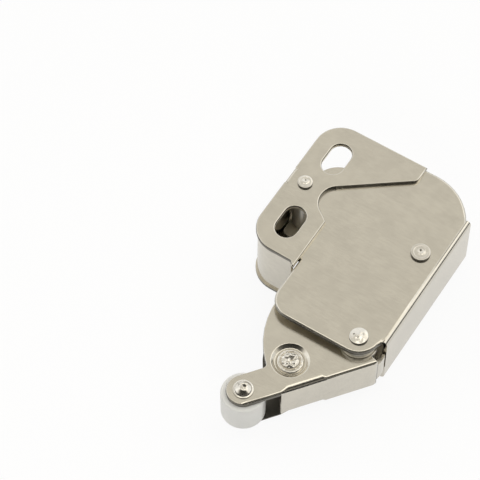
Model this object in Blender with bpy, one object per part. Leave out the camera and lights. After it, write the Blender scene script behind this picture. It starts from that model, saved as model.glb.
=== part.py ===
"""Mini touch latch with a swinging roller lever, folded from nickel-plated sheet steel.

A U-shaped cover and a slotted mounting bracket are riveted together. The lever swings on the
pivot rivet, a torsion spring pushes it out, and a link on the lever carries a pin round a
heart-shaped groove, so that one push holds the lever in and the next push lets it go.

All lengths are in millimetres in the plan frame: the lever's pivot is at 0, 0, +Y runs up along
the spine, +X points out of the spine, and Z is 0 half way through the latch. At the end the
whole latch is moved so that its origin is the bottom centre of its box, in metres.
"""
import math

import bmesh
import bpy
from mathutils import Vector

MM = 0.001

# Sheet metal
SHEET = 0.6
SEAT_GAP = 0.02
EDGE_ROLL = 0.42
BRACKET_ROLL = 0.2
BEND_RADIUS = 0.75
INNER_BEND = 0.2

# Heights, as half of each piece's thickness about the middle plane
COVER_HALF = 4.8
COVER_INSIDE = COVER_HALF - SHEET
BRACKET_INSIDE = COVER_HALF + SEAT_GAP
BRACKET_HALF = BRACKET_INSIDE + SHEET
LEVER_HALF = 3.2
LEVER_INSIDE = LEVER_HALF - SHEET

# Cover plan
SPINE_X = 3.8
SPINE_BOTTOM = 1.1
COVER_TOP = 28.15
COVER_BOTTOM = -2.6
COVER_LEFT = -13.1
TOP_CORNER = 8.05
TOP_CORNER_LEAN = 0.2
LOWER_CORNER = 3.2
PIVOT_CORNER = 3.25
PIVOT_CORNER_SET = 0.25
PIVOT_CORNER_END = -0.15

# Rivet places
UPPER_RIVET_AT = (0.4, 15.8)
PIVOT_AT = (0.0, 0.0)
BRACKET_RIVET_AT = (-18.8, 16.8)

# Bracket plan
BRACKET_LEFT = -21.35
BRACKET_BOTTOM = 5.0
BRACKET_TOP_CORNER = 4.0
BRACKET_LOWER_CORNER = 4.2
WALL_INSET = 0.25
WALL_RIGHT = COVER_LEFT - 0.8
TONGUE_X = -5.7
TONGUE_CORNER = 0.9
SEAM_ANGLE = math.radians(37.0)
BULGE_RADIUS = 2.8
BULGE_Y = 16.4
NOTCH_Y = 12.9
LIP_DROP = 0.6
LIP_RUN = 0.4
LIP_KNEE = 0.42
FOLD_LOW = 15.4
FOLD_HIGH = 18.4
FOLD_RADIUS = 0.5
RELIEF_WIDTH = 0.25
SLOT_X = -17.15
SLOT_UPPER_Y = 22.6
SLOT_LOWER_Y = 10.3
SLOT_WIDTH = 3.2
SLOT_LENGTH = 5.4

# The cover's hidden edge under the bracket, with a lug out to the bracket's rivet
TUCK = 1.3
LUG_LOW = 13.3
LUG_HIGH = 19.5
LUG_CORNER = 0.8
WALL_CLEAR = 0.15
WALL_TOP_CLEAR = 0.3

# Lever plan, in the web's own directions: along runs from the pivot to the nose, out runs
# from the pivot towards the web
WEB_ANGLE = math.radians(52.0)
WEB_OUT = 3.85
WEB_START = -1.5
WEB_END = 12.5
LEVER_BEND = 0.65
LEVER_WIDE_BEND = 1.15
LEVER_ROLL = 0.5
KINK_ALONG = 5.9
ARC_RADIUS = 12.85
ARC_TOP = math.radians(172.0)
BOSS_RADIUS = 2.75
HEEL_TOP = math.radians(14.0)
HEEL_RELIEF = 1.2
HEEL_STEP = 0.02
LINK_RIVET_OUT = -0.53
LINK_RIVET_ALONG = 9.55
AXLE_ALONG = 17.0
FINGER_RADIUS = 2.3
AXLE_OUT = WEB_OUT - FINGER_RADIUS
FINGER_FILLET = 0.6
KINK_RUN = 0.4
WEB_END_RUN = 1.2
WEB_SPARE = 0.3
WEB_SPARE_RUN = 3.0
LEVER_SPARE = 0.05
DISH_RADIUS = 2.75
DISH_FLOOR = 2.05
DISH_DEPTH = 0.6
DISH_WALL = 0.2
DISH_BITE = 0.3

# Rivets, axle and what turns on them
SHANK = 1.0
THIN_SHANK = 0.8
HOLE_GAP = 0.03
RUN_GAP = 0.1
SLEEVE_RADIUS = 2.0
PIVOT_SLEEVE_RADIUS = 1.5
BRACKET_SLEEVE_RADIUS = 1.7
WASHER_RADIUS = 2.5
WASHER_GAP = 0.1
HEAD_RADIUS = 1.45
HEAD_HEIGHT = 0.5
HEAD_SOFT = 0.12
FLUSH_HEAD_RADIUS = 1.35
FLUSH_HEAD_DEPTH = 0.4
FLUSH_HEAD_SINK = 0.03

# Peened ends, as radius and height
UPPER_PEEN = (1.36, 0.55)
PIVOT_PEEN = (1.3, 0.6)
BRACKET_PEEN = (1.06, 0.5)
AXLE_PEEN = (1.42, 0.95)
LINK_PEEN = (1.3, 0.42)
PEEN_RIM = 0.25
PEEN_CROWN = ((0.86, 0.72), (0.6, 0.97), (0.4, 1.0), (0.2, 0.7), (0.0, 0.6))
LINK_HEAD_RADIUS = 1.65
LINK_HEAD_HEIGHT = 0.45
LINK_FLANGE = ((1.9, 0.0), (1.95, 0.15), (1.8, 0.32), (1.45, 0.36))
LINK_PEEN_LIFT = 0.38

# Roller
ROLLER_RADIUS = 3.06
ROLLER_ROUND = 0.3
ROLLER_END_GAP = 0.15

# Link, follower pin and heart groove
LINK_THICK = 1.0
LINK_WIDTH = 2.4
LINK_EYE = 2.1
SPACER_RADIUS = 1.8
SPACER_GAP = 0.05
FOLLOWER_AT = (-5.2, 15.6)
FOLLOWER_RADIUS = 0.45
FOLLOWER_HEAD = 0.8
FOLLOWER_HEAD_HEIGHT = 0.4
FOLLOWER_TIP = 0.2
FOLLOWER_HEAD_SOFT = 0.1
FOLLOWER_END = -2.2
GROOVE_RADIUS = 0.68
HEART_BEND = (-1.12, 1.72)
HEART_POCKET = (-1.76, 3.86)
HEART_VALLEY = 2.9
GROOVE_FLOOR_GAP = 0.2
GROOVE_STEPS = (0.0, 0.1, 0.3, 0.2)
BLOCK_TOP = -0.9
BLOCK_WALL = 1.7
BLOCK_CORNER = 1.4
BLOCK_GAP = 0.05
BLOCK_SPINE_GAP = 0.3

# Torsion spring
WIRE_RADIUS = 0.35
COIL_RADIUS = 2.2
COIL_TURNS = 3
COIL_PITCH = 0.76
LEG_GAP = 0.05
UPPER_LEG_LENGTH = 17.6
LOWER_LEG_ALONG = 11.4
LOWER_LEG_LEAN = 0.1

# Facets on a full circle
ROUND = 26
FINE_ROUND = 44

# How far cutters reach past what they cut: beyond the whole latch, and just past a face
PAST_ALL = 30.0
PAST_FACE = 0.1


def clear_scene():
    for old in list(bpy.data.objects):
        bpy.data.objects.remove(old, do_unlink=True)


def material(name, colour, roughness, metallic):
    mat = bpy.data.materials.new(name)
    mat.use_nodes = True
    shader = mat.node_tree.nodes["Principled BSDF"]
    shader.inputs["Base Color"].default_value = (*colour, 1.0)
    shader.inputs["Roughness"].default_value = roughness
    shader.inputs["Metallic"].default_value = metallic
    mat.diffuse_color = (*colour, 1.0)
    return mat


def arc(centre, radius, start, end, count=None):
    """Points on an arc from one angle to the other, both ends included."""
    if count is None:
        count = max(2, math.ceil(abs(end - start) / math.tau * FINE_ROUND))
    step = (end - start) / count
    return [polar(centre, radius, start + step * i) for i in range(count + 1)]


def polar(centre, radius, angle):
    return (centre[0] + radius * math.cos(angle), centre[1] + radius * math.sin(angle))


def circle(centre, radius, count=ROUND):
    """Points of a full circle, turned half a step from those of a turned solid."""
    half_step = math.pi / count
    return arc(centre, radius, half_step, math.tau + half_step, count)[:-1]


def stadium(start, end, radius):
    """Outline of a slot whose end circles are centred on two points."""
    turn = math.atan2(end[1] - start[1], end[0] - start[0])
    quarter = math.pi / 2
    far = arc(end, radius, turn - quarter, turn + quarter, ROUND // 2)
    near = arc(start, radius, turn + quarter, turn + 3 * quarter, ROUND // 2)
    return far + near


def corner_fillet(before, corner, after, radius):
    """Round points that replace a corner of an outline."""
    into = (Vector(before) - Vector(corner)).normalized()
    out = (Vector(after) - Vector(corner)).normalized()
    half = into.angle(out) / 2
    centre = Vector(corner) + (into + out).normalized() * (radius / math.sin(half))
    reach = radius / math.tan(half)
    first = Vector(corner) + into * reach - centre
    last = Vector(corner) + out * reach - centre
    start = math.atan2(first.y, first.x)
    turn = first.angle_signed(last)
    return arc(tuple(centre), radius, start, start - turn, 5)


def web_point(out, along):
    """Plan point given by its distances out to the web and along it from the pivot."""
    sine, cosine = math.sin(WEB_ANGLE), math.cos(WEB_ANGLE)
    return (out * sine - along * cosine, -out * cosine - along * sine)


LINK_RIVET_AT = web_point(LINK_RIVET_OUT, LINK_RIVET_ALONG)
AXLE_AT = web_point(AXLE_OUT, AXLE_ALONG)


def add_object(name, bm, mat=None):
    bmesh.ops.recalc_face_normals(bm, faces=bm.faces)
    mesh = bpy.data.meshes.new(name)
    bm.to_mesh(mesh)
    bm.free()
    obj = bpy.data.objects.new(name, mesh)
    bpy.context.collection.objects.link(obj)
    if mat is not None:
        mesh.materials.append(mat)
    return obj


def prism_bmesh(outline, low, high):
    bm = bmesh.new()
    base = [bm.verts.new((x * MM, y * MM, low * MM)) for x, y in outline]
    face = bm.faces.new(base)
    moved = bmesh.ops.extrude_face_region(bm, geom=[face])["geom"]
    lifted = [item for item in moved if isinstance(item, bmesh.types.BMVert)]
    bmesh.ops.translate(bm, verts=lifted, vec=(0, 0, (high - low) * MM))
    bm.normal_update()
    return bm


def prism(name, outline, low, high, mat=None):
    return add_object(name, prism_bmesh(outline, low, high), mat)


def box(name, low, high):
    outline = [(low[0], low[1]), (high[0], low[1]), (high[0], high[1]), (low[0], high[1])]
    return prism(name, outline, low[2], high[2])


def bevel_edges(bm, edges, width, segments):
    """Round edges, then join points that the bevel brought together."""
    bmesh.ops.bevel(bm, geom=edges, offset=width * MM, segments=segments, profile=0.5,
                    affect="EDGES", clamp_overlap=True)
    bmesh.ops.remove_doubles(bm, verts=bm.verts, dist=1e-7)
    bm.normal_update()


def edge_middle(edge):
    return (edge.verts[0].co + edge.verts[1].co) / 2


def is_level(edge):
    return abs(edge.verts[0].co.z - edge.verts[1].co.z) < 1e-7


def flat_edges(bm, half):
    """Edges that bound a flat outer face at one distance from the middle plane."""
    return [edge for edge in bm.edges
            if is_level(edge) and abs(abs(edge.verts[0].co.z) - half * MM) < 1e-7
            and any(abs(face.normal.z) < 0.5 for face in edge.link_faces)]


def rolled_prism(name, outline, low, high, level, roll, segments, mat=None):
    """Prism with its sheared edges at one height rounded, as tumbling leaves them."""
    bm = prism_bmesh(outline, low, high)
    bevel_edges(bm, flat_edges(bm, level), roll, segments)
    return add_object(name, bm, mat)


def edges_along_y(bm, x):
    """Level edges that run along Y at one X."""
    return [edge for edge in bm.edges
            if is_level(edge) and all(abs(vert.co.x - x * MM) < 1e-7 for vert in edge.verts)]


def lathe(name, profile, centre, mat, count=ROUND):
    """Closed turned solid: profile points are radius and height, from axis to axis."""
    bm = bmesh.new()
    points = [bm.verts.new((centre[0] * MM + r * MM, centre[1] * MM, z * MM)) for r, z in profile]
    edges = [bm.edges.new(pair) for pair in zip(points, points[1:])]
    axis_at = (centre[0] * MM, centre[1] * MM, 0)
    bmesh.ops.spin(bm, geom=points + edges, cent=axis_at, axis=(0, 0, 1), angle=math.tau,
                   steps=count, use_merge=True)
    bmesh.ops.remove_doubles(bm, verts=bm.verts, dist=1e-7)
    bmesh.ops.dissolve_degenerate(bm, edges=bm.edges, dist=1e-8)
    return add_object(name, bm, mat)


def tube(name, centre, outer, inner, low, high, mat, count=ROUND):
    """Sleeve, washer or spacer as a turned ring."""
    bm = bmesh.new()
    ring = [(inner, low), (outer, low), (outer, high), (inner, high)]
    points = [bm.verts.new(((centre[0] + r) * MM, centre[1] * MM, z * MM)) for r, z in ring]
    edges = [bm.edges.new((points[i], points[(i + 1) % 4])) for i in range(4)]
    axis_at = (centre[0] * MM, centre[1] * MM, 0)
    bmesh.ops.spin(bm, geom=points + edges, cent=axis_at, axis=(0, 0, 1), angle=math.tau,
                   steps=count, use_merge=True)
    bmesh.ops.remove_doubles(bm, verts=bm.verts, dist=1e-7)
    return add_object(name, bm, mat)


def combine(target, other, operation):
    modifier = target.modifiers.new(operation.lower(), "BOOLEAN")
    modifier.operation = operation
    modifier.solver = "EXACT"
    modifier.object = other
    other.hide_render = True
    other.display_type = "WIRE"


def settle(obj):
    """Apply the modifiers, clean the flat faces and take the cutters away."""
    graph = bpy.context.evaluated_depsgraph_get()
    mesh = bpy.data.meshes.new_from_object(obj.evaluated_get(graph))
    helpers = [modifier.object for modifier in obj.modifiers]
    obj.modifiers.clear()
    obj.data = mesh
    for helper in helpers:
        bpy.data.objects.remove(helper, do_unlink=True)
    bm = bmesh.new()
    bm.from_mesh(mesh)
    bmesh.ops.remove_doubles(bm, verts=bm.verts, dist=2e-6)
    bmesh.ops.dissolve_limit(bm, angle_limit=math.radians(0.5), verts=bm.verts, edges=bm.edges)
    bm.to_mesh(mesh)
    bm.free()


def smooth(obj, angle=35.0):
    obj.data.shade_smooth()
    obj.data.set_sharp_from_angle(angle=math.radians(angle))


def drill(target, centre, radius):
    hole = prism("cutter", circle(centre, radius), -PAST_ALL, PAST_ALL)
    combine(target, hole, "DIFFERENCE")


def cover_outline():
    top_centre = (SPINE_X - TOP_CORNER + TOP_CORNER_LEAN, COVER_TOP - TOP_CORNER)
    flat_x = SPINE_X - BEND_RADIUS
    start = math.acos((flat_x - top_centre[0]) / TOP_CORNER)
    spine_top = polar(top_centre, TOP_CORNER, start)[1]
    tuck_x = COVER_LEFT - TUCK
    inside_wall = WALL_INSET + SHEET + WALL_CLEAR
    lug_x = BRACKET_LEFT + inside_wall
    lower = (COVER_LEFT + LOWER_CORNER, COVER_BOTTOM + LOWER_CORNER)
    pivot = (flat_x - PIVOT_CORNER - PIVOT_CORNER_SET, COVER_BOTTOM + PIVOT_CORNER)
    quarter = math.pi / 2
    points = arc(lower, LOWER_CORNER, math.pi, 3 * quarter)
    points += arc(pivot, PIVOT_CORNER, -quarter, PIVOT_CORNER_END)
    points += [(flat_x, SPINE_BOTTOM), (SPINE_X, SPINE_BOTTOM), (SPINE_X, spine_top)]
    points += arc(top_centre, TOP_CORNER, start, quarter)
    points += [(tuck_x, COVER_TOP), (tuck_x, LUG_HIGH)]
    points += arc((lug_x + LUG_CORNER, LUG_HIGH - LUG_CORNER), LUG_CORNER, quarter, math.pi, 3)
    points += arc((lug_x + LUG_CORNER, LUG_LOW + LUG_CORNER), LUG_CORNER, math.pi, 3 * quarter, 3)
    points += [(tuck_x, LUG_LOW), (tuck_x, BRACKET_BOTTOM + inside_wall)]
    points += [(COVER_LEFT, BRACKET_BOTTOM + inside_wall)]
    return points


def make_cover(mat):
    """Folded cover: two plates joined by the spine along their straight edge."""
    bm = prism_bmesh(cover_outline(), -COVER_HALF, COVER_HALF)
    bevel_edges(bm, edges_along_y(bm, SPINE_X), BEND_RADIUS, 5)
    flat_x = (SPINE_X - BEND_RADIUS) * MM
    rim = [edge for edge in flat_edges(bm, COVER_HALF) if edge_middle(edge).x < flat_x - 1e-6]
    bevel_edges(bm, rim, EDGE_ROLL, 3)
    cover = add_object("housing_cover", bm, mat)
    inside = SPINE_X - SHEET
    far = PAST_ALL
    bm = prism_bmesh([(-far, -far), (inside, -far), (inside, far), (-far, far)],
                     -COVER_INSIDE, COVER_INSIDE)
    bevel_edges(bm, edges_along_y(bm, inside), INNER_BEND, 2)
    combine(cover, add_object("cutter", bm), "DIFFERENCE")
    drill(cover, UPPER_RIVET_AT, SHANK + HOLE_GAP)
    drill(cover, PIVOT_AT, SHANK + HOLE_GAP)
    drill(cover, BRACKET_RIVET_AT, THIN_SHANK + HOLE_GAP)
    settle(cover)
    smooth(cover)


def seam_start():
    """Centre of the bulge and the point where the long seam leaves it."""
    centre = (COVER_LEFT, BULGE_Y)
    return centre, polar(centre, BULGE_RADIUS, math.pi / 2 + SEAM_ANGLE)


def bracket_outline():
    centre, leave = seam_start()
    rise = math.tan(SEAM_ANGLE)
    tip = (TONGUE_X, leave[1] + (TONGUE_X - leave[0]) * rise)
    left, low = BRACKET_LEFT, BRACKET_BOTTOM
    quarter = math.pi / 2
    meets = 3 * quarter - math.acos(BULGE_RADIUS / (BULGE_Y - NOTCH_Y))
    points = [(COVER_LEFT, NOTCH_Y)]
    points += arc(centre, BULGE_RADIUS, meets, quarter + SEAM_ANGLE)
    points += corner_fillet(leave, tip, (TONGUE_X, COVER_TOP), TONGUE_CORNER)
    points += [(TONGUE_X, COVER_TOP)]
    points += arc((left + BRACKET_TOP_CORNER, COVER_TOP - BRACKET_TOP_CORNER),
                  BRACKET_TOP_CORNER, quarter, math.pi)
    points += arc((left + BRACKET_LOWER_CORNER, low + BRACKET_LOWER_CORNER),
                  BRACKET_LOWER_CORNER, math.pi, 3 * quarter)
    points += [(WALL_RIGHT, low), (WALL_RIGHT + LIP_RUN, low - LIP_KNEE),
               (COVER_LEFT, low - LIP_DROP)]
    return points


def wall_path(inset):
    """Side wall's path at one depth inside the plates' edge, from its top to its right end."""
    left, low = BRACKET_LEFT, BRACKET_BOTTOM
    corner = (left + BRACKET_LOWER_CORNER, low + BRACKET_LOWER_CORNER)
    radius = BRACKET_LOWER_CORNER - inset
    path = [(left + inset, COVER_TOP - BRACKET_TOP_CORNER - WALL_TOP_CLEAR)]
    path += arc(corner, radius, math.pi, 1.5 * math.pi)
    path += [(WALL_RIGHT, low + inset)]
    return path


def make_fold(bracket):
    """Short stretch of the left side where the plates bend into the wall, between relief slits."""
    left = BRACKET_LEFT
    inner = left + SHEET
    for side in (-1, 1):
        low, high = sorted((side * BRACKET_INSIDE, side * 2 * BRACKET_HALF))
        slit = box("cutter", (left - SHEET, FOLD_LOW, low), (left + FOLD_RADIUS, FOLD_HIGH, high))
        combine(bracket, slit, "DIFFERENCE")
    low, high = FOLD_LOW + RELIEF_WIDTH, FOLD_HIGH - RELIEF_WIDTH
    bm = prism_bmesh([(left, low), (inner + SHEET, low), (inner + SHEET, high), (left, high)],
                     -BRACKET_HALF, BRACKET_HALF)
    bevel_edges(bm, edges_along_y(bm, left), FOLD_RADIUS, 4)
    combine(bracket, add_object("cutter", bm), "UNION")
    hollow = box("cutter", (inner, low, -BRACKET_INSIDE), (inner + 2 * SHEET, high, BRACKET_INSIDE))
    combine(bracket, hollow, "DIFFERENCE")


def slot_flare(ends, side):
    """Cutter that rounds a slot's rim on one outer face."""
    steps = 2
    radius = SLOT_WIDTH / 2
    levels = [(BRACKET_ROLL, -PAST_FACE)]
    for i in range(steps + 1):
        turn = math.pi / 2 * i / steps
        levels.append((BRACKET_ROLL * (1 - math.sin(turn)), BRACKET_ROLL * (1 - math.cos(turn))))
    bm = bmesh.new()
    rings = []
    for wider, sink in reversed(levels):
        outline = stadium(*ends, radius + wider)
        z = side * (BRACKET_HALF - sink)
        rings.append([bm.verts.new((x * MM, y * MM, z * MM)) for x, y in outline])
    for near, far in zip(rings, rings[1:]):
        bridge(bm, near, far)
    bm.faces.new(rings[0])
    bm.faces.new(rings[-1])
    return add_object("cutter", bm)


def bridge(bm, near, far):
    count = len(near)
    for i in range(count):
        bm.faces.new((near[i], near[(i + 1) % count], far[(i + 1) % count], far[i]))


def make_bracket(mat):
    """Mounting bracket: two slotted plates and the side wall that joins them."""
    outline = bracket_outline()
    bracket = rolled_prism("mounting_bracket", outline, BRACKET_INSIDE, BRACKET_HALF,
                           BRACKET_HALF, BRACKET_ROLL, 2, mat)
    lower = rolled_prism("cutter", outline, -BRACKET_HALF, -BRACKET_INSIDE,
                         BRACKET_HALF, BRACKET_ROLL, 2)
    combine(bracket, lower, "UNION")
    bite = SHEET / 3
    wall = wall_path(WALL_INSET) + wall_path(WALL_INSET + SHEET)[::-1]
    combine(bracket, prism("cutter", wall, -BRACKET_INSIDE - bite, BRACKET_INSIDE + bite), "UNION")
    make_fold(bracket)
    half_run = (SLOT_LENGTH - SLOT_WIDTH) / 2
    for middle in (SLOT_UPPER_Y, SLOT_LOWER_Y):
        ends = (SLOT_X, middle - half_run), (SLOT_X, middle + half_run)
        slot = prism("cutter", stadium(*ends, SLOT_WIDTH / 2), -PAST_ALL, PAST_ALL)
        combine(bracket, slot, "DIFFERENCE")
        for side in (-1, 1):
            combine(bracket, slot_flare(ends, side), "DIFFERENCE")
    drill(bracket, BRACKET_RIVET_AT, THIN_SHANK + HOLE_GAP)
    sink_flush_head(bracket)
    settle(bracket)
    smooth(bracket)


def sink_flush_head(bracket):
    """Countersink for the rivet's lower end, which leaves the mounting face flat."""
    face = -BRACKET_HALF
    wide = FLUSH_HEAD_RADIUS + HOLE_GAP
    narrow = THIN_SHANK + HOLE_GAP
    cone = [(0, face - PAST_FACE), (wide, face - PAST_FACE), (wide, face),
            (narrow, face + FLUSH_HEAD_DEPTH), (0, face + FLUSH_HEAD_DEPTH)]
    combine(bracket, lathe("cutter", cone, BRACKET_RIVET_AT, None), "DIFFERENCE")


def heel_turn():
    """Angles about the pivot where the web's flat ends and where the plates' edge leaves it."""
    flat_end = WEB_ANGLE - math.pi / 2
    return flat_end, flat_end + math.asin(-WEB_START / WEB_OUT)


def lever_outline():
    """Plan of the lever's plates, drawn wide of the web, whose own solid limits them there."""
    root = math.sqrt(ARC_RADIUS ** 2 - (AXLE_OUT - FINGER_RADIUS) ** 2)
    side = AXLE_OUT - FINGER_RADIUS
    corner = web_point(side, root)
    corner_turn = math.atan2(corner[1], corner[0]) % math.tau
    clear_turn = 3 * FINGER_FILLET / ARC_RADIUS
    past_arc = polar(PIVOT_AT, ARC_RADIUS, corner_turn - clear_turn)
    flat_end, edge_end = heel_turn()
    wide = WEB_OUT + WEB_SPARE
    points = corner_fillet(past_arc, corner, web_point(side, AXLE_ALONG), FINGER_FILLET)
    points += arc(AXLE_AT, FINGER_RADIUS, flat_end + math.pi, flat_end + math.tau)
    points += [web_point(wide, AXLE_ALONG - WEB_SPARE_RUN), web_point(wide, WEB_SPARE_RUN)]
    points += arc(PIVOT_AT, WEB_OUT, flat_end, edge_end, 4)
    points += arc(PIVOT_AT, BOSS_RADIUS, edge_end, math.pi / 2)
    points += arc(PIVOT_AT, ARC_RADIUS, ARC_TOP, corner_turn - clear_turn / 2)
    return points


def web_section(bm, along, half, reach, radius):
    """One cross-section of the folded lever: a wide rectangle rounded on the web's side."""
    steps = 5
    centre = (reach - radius, half - radius)
    round_part = [(centre[0] + radius * math.sin(a), centre[1] + radius * math.cos(a))
                  for a in (i * math.pi / 2 / steps for i in range(steps + 1))]
    profile = [(-PAST_ALL, half)] + round_part
    profile += [(out, -z) for out, z in reversed(round_part)] + [(-PAST_ALL, -half)]
    ring = []
    for out, z in profile:
        x, y = web_point(out, along)
        ring.append(bm.verts.new((x * MM, y * MM, z * MM)))
    return ring


def web_loft(name, half, stations):
    """Solid that runs along the web through stations of distance, outer face and bend radius."""
    bm = bmesh.new()
    rings = [web_section(bm, along, half, reach, radius) for along, reach, radius in stations]
    for near, far in zip(rings, rings[1:]):
        bridge(bm, near, far)
    bm.faces.new(rings[0])
    bm.faces.new(rings[-1])
    bmesh.ops.remove_doubles(bm, verts=bm.verts, dist=1e-7)
    return add_object(name, bm)


def dish_profile(radius, floor, depth, surface, reach):
    """Turned outline of the dish's face, smooth from its rim to its floor."""
    steps = 4
    points = [(0, surface - depth)]
    for i in range(steps + 1):
        share = i / steps
        sink = depth * (0.5 + 0.5 * math.cos(math.pi * share))
        points.append((floor + (radius - floor) * share, surface - sink))
    return points + [(radius, surface + reach), (0, surface + reach)]


def make_dishes(lever):
    """Sink the plates round the link rivet, so that its ends clear the cover."""
    for side in (-1, 1):
        bump = dish_profile(DISH_RADIUS + DISH_WALL, DISH_FLOOR + DISH_WALL, DISH_DEPTH,
                            LEVER_INSIDE, DISH_BITE)
        bump = [(r, side * z) for r, z in bump]
        combine(lever, lathe("cutter", bump, LINK_RIVET_AT, None), "UNION")
    for side in (-1, 1):
        hollow = dish_profile(DISH_RADIUS, DISH_FLOOR, DISH_DEPTH, LEVER_HALF, SHEET)
        hollow = [(r, side * z) for r, z in hollow]
        combine(lever, lathe("cutter", hollow, LINK_RIVET_AT, None), "DIFFERENCE")


def make_lever(mat):
    """Folded lever: two plates joined by the web, with a finger for the roller."""
    tall = LEVER_HALF + LEVER_SPARE
    roll = LEVER_ROLL + LEVER_SPARE
    lever = rolled_prism("lever", lever_outline(), -tall, tall, tall, roll, 3, mat)
    bends = [(-PAST_ALL, LEVER_BEND), (KINK_ALONG, LEVER_BEND),
             (KINK_ALONG + KINK_RUN, LEVER_WIDE_BEND), (WEB_END - WEB_END_RUN, LEVER_WIDE_BEND),
             (WEB_END - PAST_FACE, LEVER_ROLL), (PAST_ALL, LEVER_ROLL)]
    outer = [(along, WEB_OUT, radius) for along, radius in bends]
    combine(lever, web_loft("cutter", LEVER_HALF, outer), "INTERSECT")
    face = WEB_OUT - SHEET
    inner = [(along, face, max(radius - SHEET, INNER_BEND)) for along, radius in bends[:5]]
    inner += [(WEB_END, PAST_ALL, INNER_BEND), (PAST_ALL, PAST_ALL, INNER_BEND)]
    combine(lever, web_loft("cutter", LEVER_INSIDE, inner), "DIFFERENCE")
    flat_end = heel_turn()[0]
    heel = arc(PIVOT_AT, WEB_OUT - HEEL_STEP, flat_end, HEEL_TOP, 8)
    heel += arc(PIVOT_AT, WEB_OUT - SHEET, HEEL_TOP, flat_end, 8)
    half = LEVER_HALF - HEEL_RELIEF
    combine(lever, prism("cutter", heel, -half, half), "UNION")
    make_dishes(lever)
    drill(lever, PIVOT_AT, PIVOT_SLEEVE_RADIUS + RUN_GAP)
    drill(lever, LINK_RIVET_AT, SHANK + HOLE_GAP)
    drill(lever, AXLE_AT, SHANK + HOLE_GAP)
    settle(lever)
    smooth(lever)


def flat_head(radius, height, seat):
    """Lower end of a rivet: a flat disc with a slightly broken rim, from its axis outwards."""
    low = seat - height
    return [(0, low), (radius - HEAD_SOFT, low), (radius, low + HEAD_SOFT), (radius, seat)]


def peened_head(radius, height, seat):
    """Upper end of a rivet: a hammered dome with a pit in it, from its rim to its axis."""
    shoulder = [(radius, seat), (radius, seat + height * PEEN_RIM)]
    return shoulder + [(radius * share, seat + height * rise) for share, rise in PEEN_CROWN]


def make_rivet(name, centre, half, peen, mat):
    """Rivet with a flat head below and a peened end above the pieces that it holds."""
    profile = flat_head(HEAD_RADIUS, HEAD_HEIGHT, -half)
    profile += [(SHANK, -half), (SHANK, half)]
    profile += peened_head(*peen, half)
    smooth(lathe(name, profile, centre, mat), 40)


def make_bracket_rivet(mat):
    """Thin rivet whose lower end is countersunk into the bracket's mounting face."""
    face = -BRACKET_HALF
    profile = [(0, face + FLUSH_HEAD_SINK), (FLUSH_HEAD_RADIUS, face + FLUSH_HEAD_SINK),
               (THIN_SHANK, face + FLUSH_HEAD_DEPTH), (THIN_SHANK, BRACKET_HALF)]
    profile += peened_head(*BRACKET_PEEN, BRACKET_HALF)
    smooth(lathe("bracket_rivet", profile, BRACKET_RIVET_AT, mat), 40)


def make_link_rivet(mat):
    """Rivet in the dishes: its peened end spreads to a wide flange before the dome."""
    seat = LEVER_HALF - DISH_DEPTH
    profile = flat_head(LINK_HEAD_RADIUS, LINK_HEAD_HEIGHT, -seat)
    profile += [(SHANK, -seat), (SHANK, seat)]
    profile += [(radius, seat + rise) for radius, rise in LINK_FLANGE]
    profile += peened_head(*LINK_PEEN, seat + LINK_PEEN_LIFT)[1:]
    smooth(lathe("link_rivet", profile, LINK_RIVET_AT, mat), 40)


def make_rivets(mat):
    make_rivet("upper_rivet", UPPER_RIVET_AT, COVER_HALF, UPPER_PEEN, mat)
    make_rivet("pivot_rivet", PIVOT_AT, COVER_HALF, PIVOT_PEEN, mat)
    make_rivet("roller_axle", AXLE_AT, LEVER_HALF, AXLE_PEEN, mat)
    make_bracket_rivet(mat)
    make_link_rivet(mat)


def make_sleeves(mat):
    """Sleeves that hold the cover's plates apart, and washers beside the lever."""
    gap = SEAT_GAP
    top = COVER_INSIDE - gap
    bore = SHANK + HOLE_GAP
    tube("upper_sleeve", UPPER_RIVET_AT, SLEEVE_RADIUS, bore, -top, top, mat)
    tube("pivot_sleeve", PIVOT_AT, PIVOT_SLEEVE_RADIUS, bore, -top, top, mat)
    tube("bracket_sleeve", BRACKET_RIVET_AT, BRACKET_SLEEVE_RADIUS, THIN_SHANK + HOLE_GAP,
         -top, top, mat)
    inner = PIVOT_SLEEVE_RADIUS + HOLE_GAP
    low = LEVER_HALF + WASHER_GAP
    tube("pivot_washer_upper", PIVOT_AT, WASHER_RADIUS, inner, low, top, mat)
    tube("pivot_washer_lower", PIVOT_AT, WASHER_RADIUS, inner, -top, -low, mat)
    spacer_low = LINK_THICK / 2 + SPACER_GAP
    spacer_high = LEVER_INSIDE - DISH_DEPTH - SPACER_GAP
    tube("link_spacer_upper", LINK_RIVET_AT, SPACER_RADIUS, bore, spacer_low, spacer_high, mat)
    tube("link_spacer_lower", LINK_RIVET_AT, SPACER_RADIUS, bore, -spacer_high, -spacer_low, mat)


def make_roller(mat):
    half = LEVER_INSIDE - ROLLER_END_GAP
    bore = SHANK + RUN_GAP
    soft = ROLLER_ROUND
    rim = [(ROLLER_RADIUS - soft + soft * math.sin(a), half - soft + soft * math.cos(a))
           for a in (i * math.pi / 6 for i in range(4))]
    ring = [(bore, half)] + rim + [(r, -z) for r, z in reversed(rim)] + [(bore, -half)]
    bm = bmesh.new()
    x, y = AXLE_AT
    points = [bm.verts.new(((x + r) * MM, y * MM, z * MM)) for r, z in ring]
    edges = [bm.edges.new((points[i - 1], points[i])) for i in range(len(points))]
    bmesh.ops.spin(bm, geom=points + edges, cent=(x * MM, y * MM, 0), axis=(0, 0, 1),
                   angle=math.tau, steps=FINE_ROUND, use_merge=True)
    bmesh.ops.remove_doubles(bm, verts=bm.verts, dist=1e-7)
    smooth(add_object("roller", bm, mat), 40)


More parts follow.
